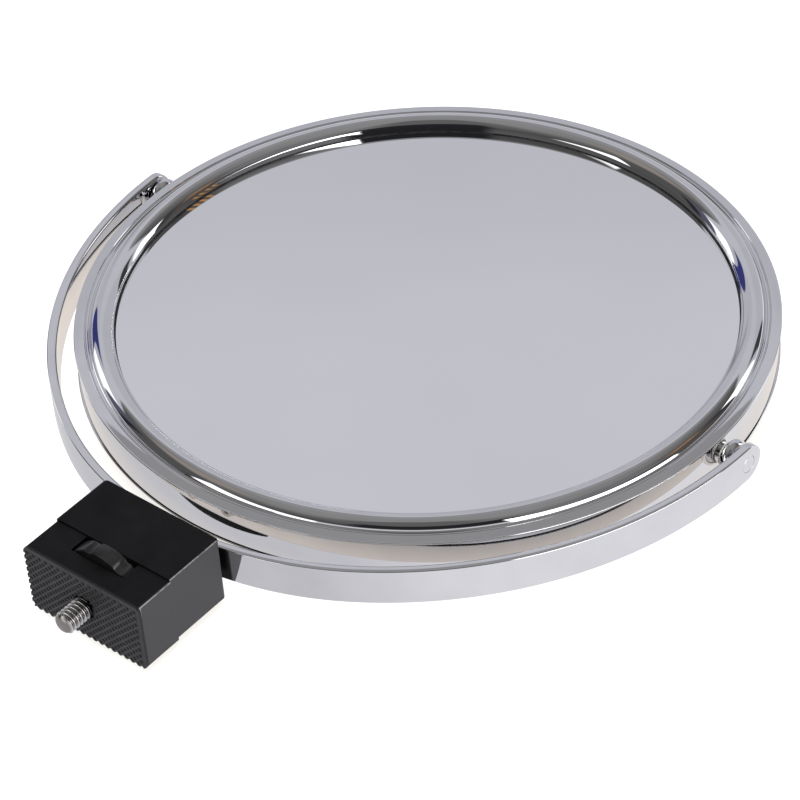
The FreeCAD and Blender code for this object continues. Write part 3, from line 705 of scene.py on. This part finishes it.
def ribbed_pad(material):
    """The rubber pad with its lattice of raised ribs and a plain border."""
    low, high = (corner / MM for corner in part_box("grip_pad"))
    corner, hole = 1.5, 3.5
    step, spacing, rib, shoulder = 0.14, 1.56, 0.5, 0.16
    # How far the ribs' tops, the border and the floor of the stud's hole lie behind
    # the pad's front plane, and how much deeper than the ribs the pits are.
    rib_top, border, hole_floor, pit = 0.02, 0.12, 0.96, 0.45
    border_right, border_top = 1.0, 1.2
    across = int(round((high.x - low.x) / step))
    up = int(round((high.z - low.z) / step))

    def settle(x, z):
        """Pulls a point that lies outside a rounded corner onto the corner's arc."""
        near_x = min(max(x, low.x + corner), high.x - corner)
        near_z = min(max(z, low.z + corner), high.z - corner)
        away = math.hypot(x - near_x, z - near_z)
        if away <= corner:
            return x, z
        share = corner / away
        return near_x + (x - near_x) * share, near_z + (z - near_z) * share

    def height(x, z):
        """How far the surface lies behind the pad's front plane."""
        if math.hypot(x, z) < hole:
            return hole_floor
        if x > high.x - border_right or z > high.z - border_top:
            return border
        nearest = spacing
        for diagonal in ((x + z) / math.sqrt(2), (x - z) / math.sqrt(2)):
            offset = abs((diagonal / spacing) % 1.0 - 0.5) * spacing
            nearest = min(nearest, spacing / 2 - offset)
        share = min(max((nearest - rib / 2) / shoulder, 0.0), 1.0)
        return rib_top + pit * share * share * (3 - 2 * share)

    points = []
    index = {}
    for i in range(across + 1):
        for k in range(up + 1):
            x = low.x + (high.x - low.x) * i / across
            z = low.z + (high.z - low.z) * k / up
            x, z = settle(x, z)
            index[i, k] = len(points)
            points.append((x, height(x, z), z))
    faces = []
    for i in range(across):
        for k in range(up):
            quad = [index[i, k], index[i + 1, k], index[i + 1, k + 1], index[i, k + 1]]
            faces.append(quad)
    rim = [(i, 0) for i in range(across)] + [(across, k) for k in range(up)]
    rim += [(i, up) for i in range(across, 0, -1)] + [(0, k) for k in range(up, 0, -1)]
    back = {}
    for key in rim:
        x, _, z = points[index[key]]
        back[key] = len(points)
        points.append((x, 1.0, z))
    for here, there in zip(rim, rim[1:] + rim[:1]):
        faces.append([index[here], back[here], back[there], index[there]])
    faces.append([back[key] for key in rim])
    pad = make_mesh("ribbed_pad", points, faces, angle_deg=60)
    finish_piece(pad, "frame", material, "rubber", "grip_pad")


polished = chrome()
mirror = silvered()
black = anodised()
steel = machined_steel()
fastener = screw_steel()
plastic = nylon()

bezel("front_ring", 1, polished)
bezel("rear_ring", -1, polished)
drum_wall(polished)
mirror_faces(mirror)
glass_seal(sealant())
yoke_strip(polished)
pivots(polished)
threaded_stud(steel)
ribbed_pad(rubber())

paint("rear_block", black)
paint("front_block", black)
soften("rear_block", 0.14)
soften("front_block", 0.14)
paint("thumbwheel", moulded_black())
soften("thumbwheel", 0.2)
paint("block_screws", fastener)
paint("yoke_screws", fastener)
soften("yoke_screws", 0.1)
paint("wheel_grub_screw", fastener)
for washer in ("thrust_washers", "right_friction_washer", "left_friction_washer"):
    paint(washer, plastic)
paint("spacer_ring", plastic)
paint("backing_board", hardboard())
paint("right_pivot_boss", polished)
paint("left_pivot_boss", polished)


# ------------------------------------------------------------------------- studio


def studio_floor():
    """A pale floor just under the object, in metres."""
    size, gap = 3.0, 0.0003
    z = CAD_BOX[0].z - gap
    corners = [(-size, -size), (size, -size), (size, size), (-size, size)]
    mesh = bpy.data.meshes.new("floor")
    mesh.from_pydata([(x, y, z) for x, y in corners], [], [(0, 1, 2, 3)])
    floor = bpy.data.objects.new("floor", mesh)
    bpy.context.scene.collection.objects.link(floor)
    floor.data.materials.append(floor_paper())


def floor_paper():
    """White paper that glows, standing in for studio light. The camera sees it overexposed,
    with painted shade under the mirror. Reflections see a cool grey with painted light on
    the side of the right-hand window, and painted shade under the mirror, first warm and then
    dark."""
    look = Material("floor_paper", Roughness=0.9, Specular_IOR_Level=0.1)
    x, y, _ = look.axes()
    away = look.math("SUBTRACT", y, CENTRE.y * MM)
    square = look.math("ADD", look.math("MULTIPLY", x, x), look.math("MULTIPLY", away, away))
    reach = look.math("SQRT", square, 0)
    # Painted shade under the mirror, as reflections see it.
    under = look.spread(reach, 0.112, 0.1, 0.0, 1.0)
    deep_painted_shade = look.spread(reach, 0.1, 0.082, 0.0, 1.0)
    # Painted light on the side of the right-hand window, as reflections see it.
    side = look.spread(x, 0.045, 0.085, 0.0, 1.0)
    grey = look.mix(side, (0.67, 0.67, 0.705), (0.89, 0.89, 0.925))
    shade = look.mix(deep_painted_shade, (0.92, 0.84, 0.76), (0.36, 0.35, 0.35))
    painted_glow = look.node("ShaderNodeEmission")
    look.link(look.mix(under, grey, shade), painted_glow.inputs["Color"])
    look.shader.inputs["Base Color"].default_value = (0.4, 0.42, 0.45, 1)
    # Painted shade under the mirror, as the camera sees it.
    painted_shade_near = look.spread(reach, 0.1, 0.09, 0.0, 1.0)
    look.set("Emission Color", look.mix(painted_shade_near, (0.87, 0.845, 0.8), (0.56, 0.53, 0.5)))
    look.shader.inputs["Emission Strength"].default_value = 1.0
    seen = look.node("ShaderNodeLightPath").outputs["Is Camera Ray"]
    mix = look.node("ShaderNodeMixShader")
    look.link(seen, mix.inputs["Fac"])
    look.link(painted_glow.outputs[0], mix.inputs[1])
    look.link(look.shader.outputs[0], mix.inputs[2])
    look.link(mix.outputs[0], look.tree.nodes["Material Output"].inputs["Surface"])
    return look.material


class Sky:
    """World light built from soft-edged windows, in degrees of azimuth and elevation."""

    def __init__(self):
        world = bpy.data.worlds.new("studio")
        bpy.context.scene.world = world
        world.use_nodes = True
        self.tree = world.node_tree
        self.tree.nodes.clear()
        direction = self.tree.nodes.new("ShaderNodeTexCoord").outputs["Generated"]
        split = self.tree.nodes.new("ShaderNodeSeparateXYZ")
        self.tree.links.new(direction, split.inputs[0])
        azimuth = self.math("ARCTAN2", split.outputs[0], split.outputs[1])
        self.azimuth = self.math("MULTIPLY", azimuth, 180 / math.pi)
        rise = self.math("ARCSINE", split.outputs[2], 0)
        self.elevation = self.math("MULTIPLY", rise, 180 / math.pi)
        self.colour = None

    def math(self, operation, first, second):
        """One operation on two sockets or numbers."""
        node = self.tree.nodes.new("ShaderNodeMath")
        node.operation = operation
        for socket, value in zip(node.inputs, (first, second)):
            if isinstance(value, (int, float)):
                socket.default_value = value
            else:
                self.tree.links.new(value, socket)
        return node.outputs[0]

    def step(self, source, low, high):
        """Rises smoothly from 0 at low to 1 at high."""
        node = self.tree.nodes.new("ShaderNodeMapRange")
        node.interpolation_type = "SMOOTHSTEP"
        self.tree.links.new(source, node.inputs["Value"])
        node.inputs["From Min"].default_value = low
        node.inputs["From Max"].default_value = high
        return node.outputs["Result"]

    def dome(self, stops):
        """The colour by elevation, before any window is added."""
        ramp = self.tree.nodes.new("ShaderNodeValToRGB")
        height = self.math("DIVIDE", self.elevation, 90.0)
        self.tree.links.new(height, ramp.inputs["Fac"])
        elements = ramp.color_ramp.elements
        while len(elements) < len(stops):
            elements.new(0.5)
        for element, (elevation, colour) in zip(elements, stops):
            element.position = elevation / 90
            element.color = (*colour, 1)
        self.colour = ramp.outputs["Color"]

    def around(self, middle, drift=0.0):
        """Degrees of azimuth from a middle that drifts with the elevation."""
        turned = self.math("SUBTRACT", self.azimuth, middle)
        if drift:
            turned = self.math("SUBTRACT", turned, self.math("MULTIPLY", self.elevation, drift))
        turned = self.math("MODULO", self.math("ADD", turned, 540.0), 360.0)
        return self.math("SUBTRACT", turned, 180.0)

    def lay(self, mask, colour):
        """Puts a colour over what is there, where the mask is 1."""
        mix = self.tree.nodes.new("ShaderNodeMix")
        mix.data_type = "RGBA"
        self.tree.links.new(mask, mix.inputs["Factor"])
        self.tree.links.new(self.colour, mix.inputs[6])
        mix.inputs[7].default_value = (*colour, 1)
        self.colour = mix.outputs[2]

    def window(self, middle, half, low, high, colour, soft=3.0, soft_top=4.0, lean=0.0, drift=0.0):
        """A patch of light, middle +- half in azimuth and low to high in elevation.
        Its top and bottom rise by lean for each degree of azimuth."""
        turned = self.around(middle, drift)
        away = self.math("ABSOLUTE", turned, 0)
        height = self.math("SUBTRACT", self.elevation, self.math("MULTIPLY", turned, lean))
        across = self.step(away, half + soft, half - soft)
        up = self.step(height, low - soft_top, low + soft_top)
        down = self.step(height, high + soft_top, high - soft_top)
        self.lay(self.math("MULTIPLY", across, self.math("MULTIPLY", up, down)), colour)

    def arch(self, middle, half, top, colour, soft=0.025):
        """Light inside an arch, middle +- half wide at the horizon and top high."""
        across = self.math("DIVIDE", self.around(middle), half)
        height = self.math("DIVIDE", self.math("MAXIMUM", self.elevation, 0), top)
        rise = self.math("POWER", height, 4)
        square = self.math("ADD", self.math("MULTIPLY", across, across), rise)
        reach = self.math("SQRT", square, 0)
        self.lay(self.step(reach, 1 + soft, 1 - soft), colour)

    def finish(self):
        """Shows the sky to everything but the camera, which sees plain white."""
        seen = self.tree.nodes.new("ShaderNodeBackground")
        seen.inputs["Color"].default_value = (1, 1, 1, 1)
        seen.inputs["Strength"].default_value = 1.0
        light = self.tree.nodes.new("ShaderNodeBackground")
        self.tree.links.new(self.colour, light.inputs["Color"])
        rays = self.tree.nodes.new("ShaderNodeLightPath")
        mix = self.tree.nodes.new("ShaderNodeMixShader")
        self.tree.links.new(rays.outputs["Is Camera Ray"], mix.inputs["Fac"])
        self.tree.links.new(light.outputs[0], mix.inputs[1])
        self.tree.links.new(seen.outputs[0], mix.inputs[2])
        output = self.tree.nodes.new("ShaderNodeOutputWorld")
        self.tree.links.new(mix.outputs[0], output.inputs["Surface"])


def studio_light():
    """Soft light from windows, and a lamp overhead that reflections don't show. A
    window is given by its middle, half width, low and high edges and colour."""
    sky = Sky()
    sky.dome(
        [
            (0, (0.075, 0.072, 0.072)),
            (30, (0.09, 0.087, 0.087)),
            (45, (0.15, 0.147, 0.147)),
            (58, (0.25, 0.245, 0.245)),
            (75, (0.3, 0.3, 0.3)),
        ]
    )
    # Broad tones of the room.
    sky.window(-120, 20, -8, 40, (0.1, 0.1, 0.1), soft=6)
    sky.window(-108, 20, 44, 62, (0.33, 0.29, 0.26), soft=8)
    sky.window(-41, 34, 36, 70, (0.33, 0.33, 0.34), soft=14, soft_top=8)
    # The wide pale screen that the flat glass reflects, with a brighter border.
    sky.arch(-39.5, 68.5, 44, (0.62, 0.62, 0.67))
    sky.arch(-39.5, 62, 36, (0.55, 0.55, 0.605), soft=0.12)
    # Narrow bright and dark strips that show in the ring and its wall.
    sky.window(27.5, 7, -8, 26, (2.0, 2.0, 2.0), soft=0.6, soft_top=1.5)
    sky.window(12, 4.5, -8, 25, (0.05, 0.05, 0.055), soft=1.2, soft_top=3)
    sky.window(-93, 7, -8, 27, (1.6, 1.6, 1.62), soft=0.6, soft_top=1.5)
    sky.window(-104.5, 4.5, -8, 31, (0.11, 0.11, 0.16), soft=1.5)
    sky.window(-59, 2, -8, 24, (0.34, 0.34, 0.37), soft=3)
    sky.window(-84.5, 4.6, -8, 34, (0.045, 0.05, 0.2), soft=0.6, soft_top=2, drift=0.44)
    sky.window(-112, 3, -8, 28, (0.025, 0.025, 0.03), soft=2)
    sky.window(39.5, 5, -8, 32, (0.05, 0.05, 0.055), soft=1)
    sky.window(52, 10, -8, 40, (0.1, 0.088, 0.08), soft=4)
    # Four slanting orange bars.
    for azimuth in (44.7, 48.0, 51.4, 54.6):
        sky.window(azimuth, 0.8, 29, 38, (0.62, 0.33, 0.12), soft=0.6, soft_top=1.5, lean=1)
    # The camera's side: broad greys, a pale band low down, a dark patch above it.
    sky.window(150, 34, 44, 84, (0.14, 0.138, 0.138), soft=14, soft_top=5)
    sky.window(90, 32, 30, 54, (0.2, 0.2, 0.205), soft=6)
    sky.window(139, 62, -8, 17, (0.72, 0.72, 0.73), soft=10, soft_top=2)
    sky.window(139, 28, 21, 47, (0.022, 0.022, 0.025), soft=4, soft_top=3)
    # The brightest windows, right and left of the camera.
    sky.window(90, 27.5, -8, 25, (4.0, 4.0, 3.95), soft=1, soft_top=2, lean=0.4)
    sky.window(-163, 21, 3, 26, (1.7, 1.7, 1.7), soft=1, soft_top=2, lean=0.4)
    sky.window(-163, 21, -8, 1, (0.4, 0.4, 0.4), soft=2, soft_top=2, lean=0.3)
    sky.finish()
    lamp = bpy.data.lights.new("overhead", "AREA")
    lamp.shape = "DISK"
    lamp.size = 2.4
    lamp.energy = 42
    light = bpy.data.objects.new("overhead", lamp)
    light.location = (-0.3, -0.1, 1.9)
    light.visible_glossy = False
    bpy.context.scene.collection.objects.link(light)


def studio_camera():
    """The camera at the photograph's angle and distance."""
    azimuth, elevation, roll = math.radians(41.43), math.radians(40.4), math.radians(-4.05)
    distance, shift_right, shift_up = 0.83902, -0.00931, -0.02175
    target = Vector((0, 0.1422, 0))
    back = Vector(
        (
            math.sin(azimuth) * math.cos(elevation),
            -math.cos(azimuth) * math.cos(elevation),
            math.sin(elevation),
        )
    )
    right = Vector((math.cos(azimuth), math.sin(azimuth), 0))
    up = back.cross(right)
    data = bpy.data.cameras.new("camera")
    data.lens = 132.78
    data.sensor_width = 36.0
    data.clip_start = 0.05
    data.clip_end = 20
    camera = bpy.data.objects.new("camera", data)
    spot = target + back * distance + right * shift_right + up * shift_up
    turned_right = right * math.cos(roll) + up * math.sin(roll)
    turned_up = up * math.cos(roll) - right * math.sin(roll)
    basis = Matrix((turned_right, turned_up, back)).transposed().to_4x4()
    camera.matrix_world = Matrix.Translation(spot) @ basis
    bpy.context.scene.collection.objects.link(camera)
    bpy.context.scene.camera = camera


studio_floor()
studio_light()
studio_camera()
bpy.context.scene.view_settings.view_transform = "Standard"
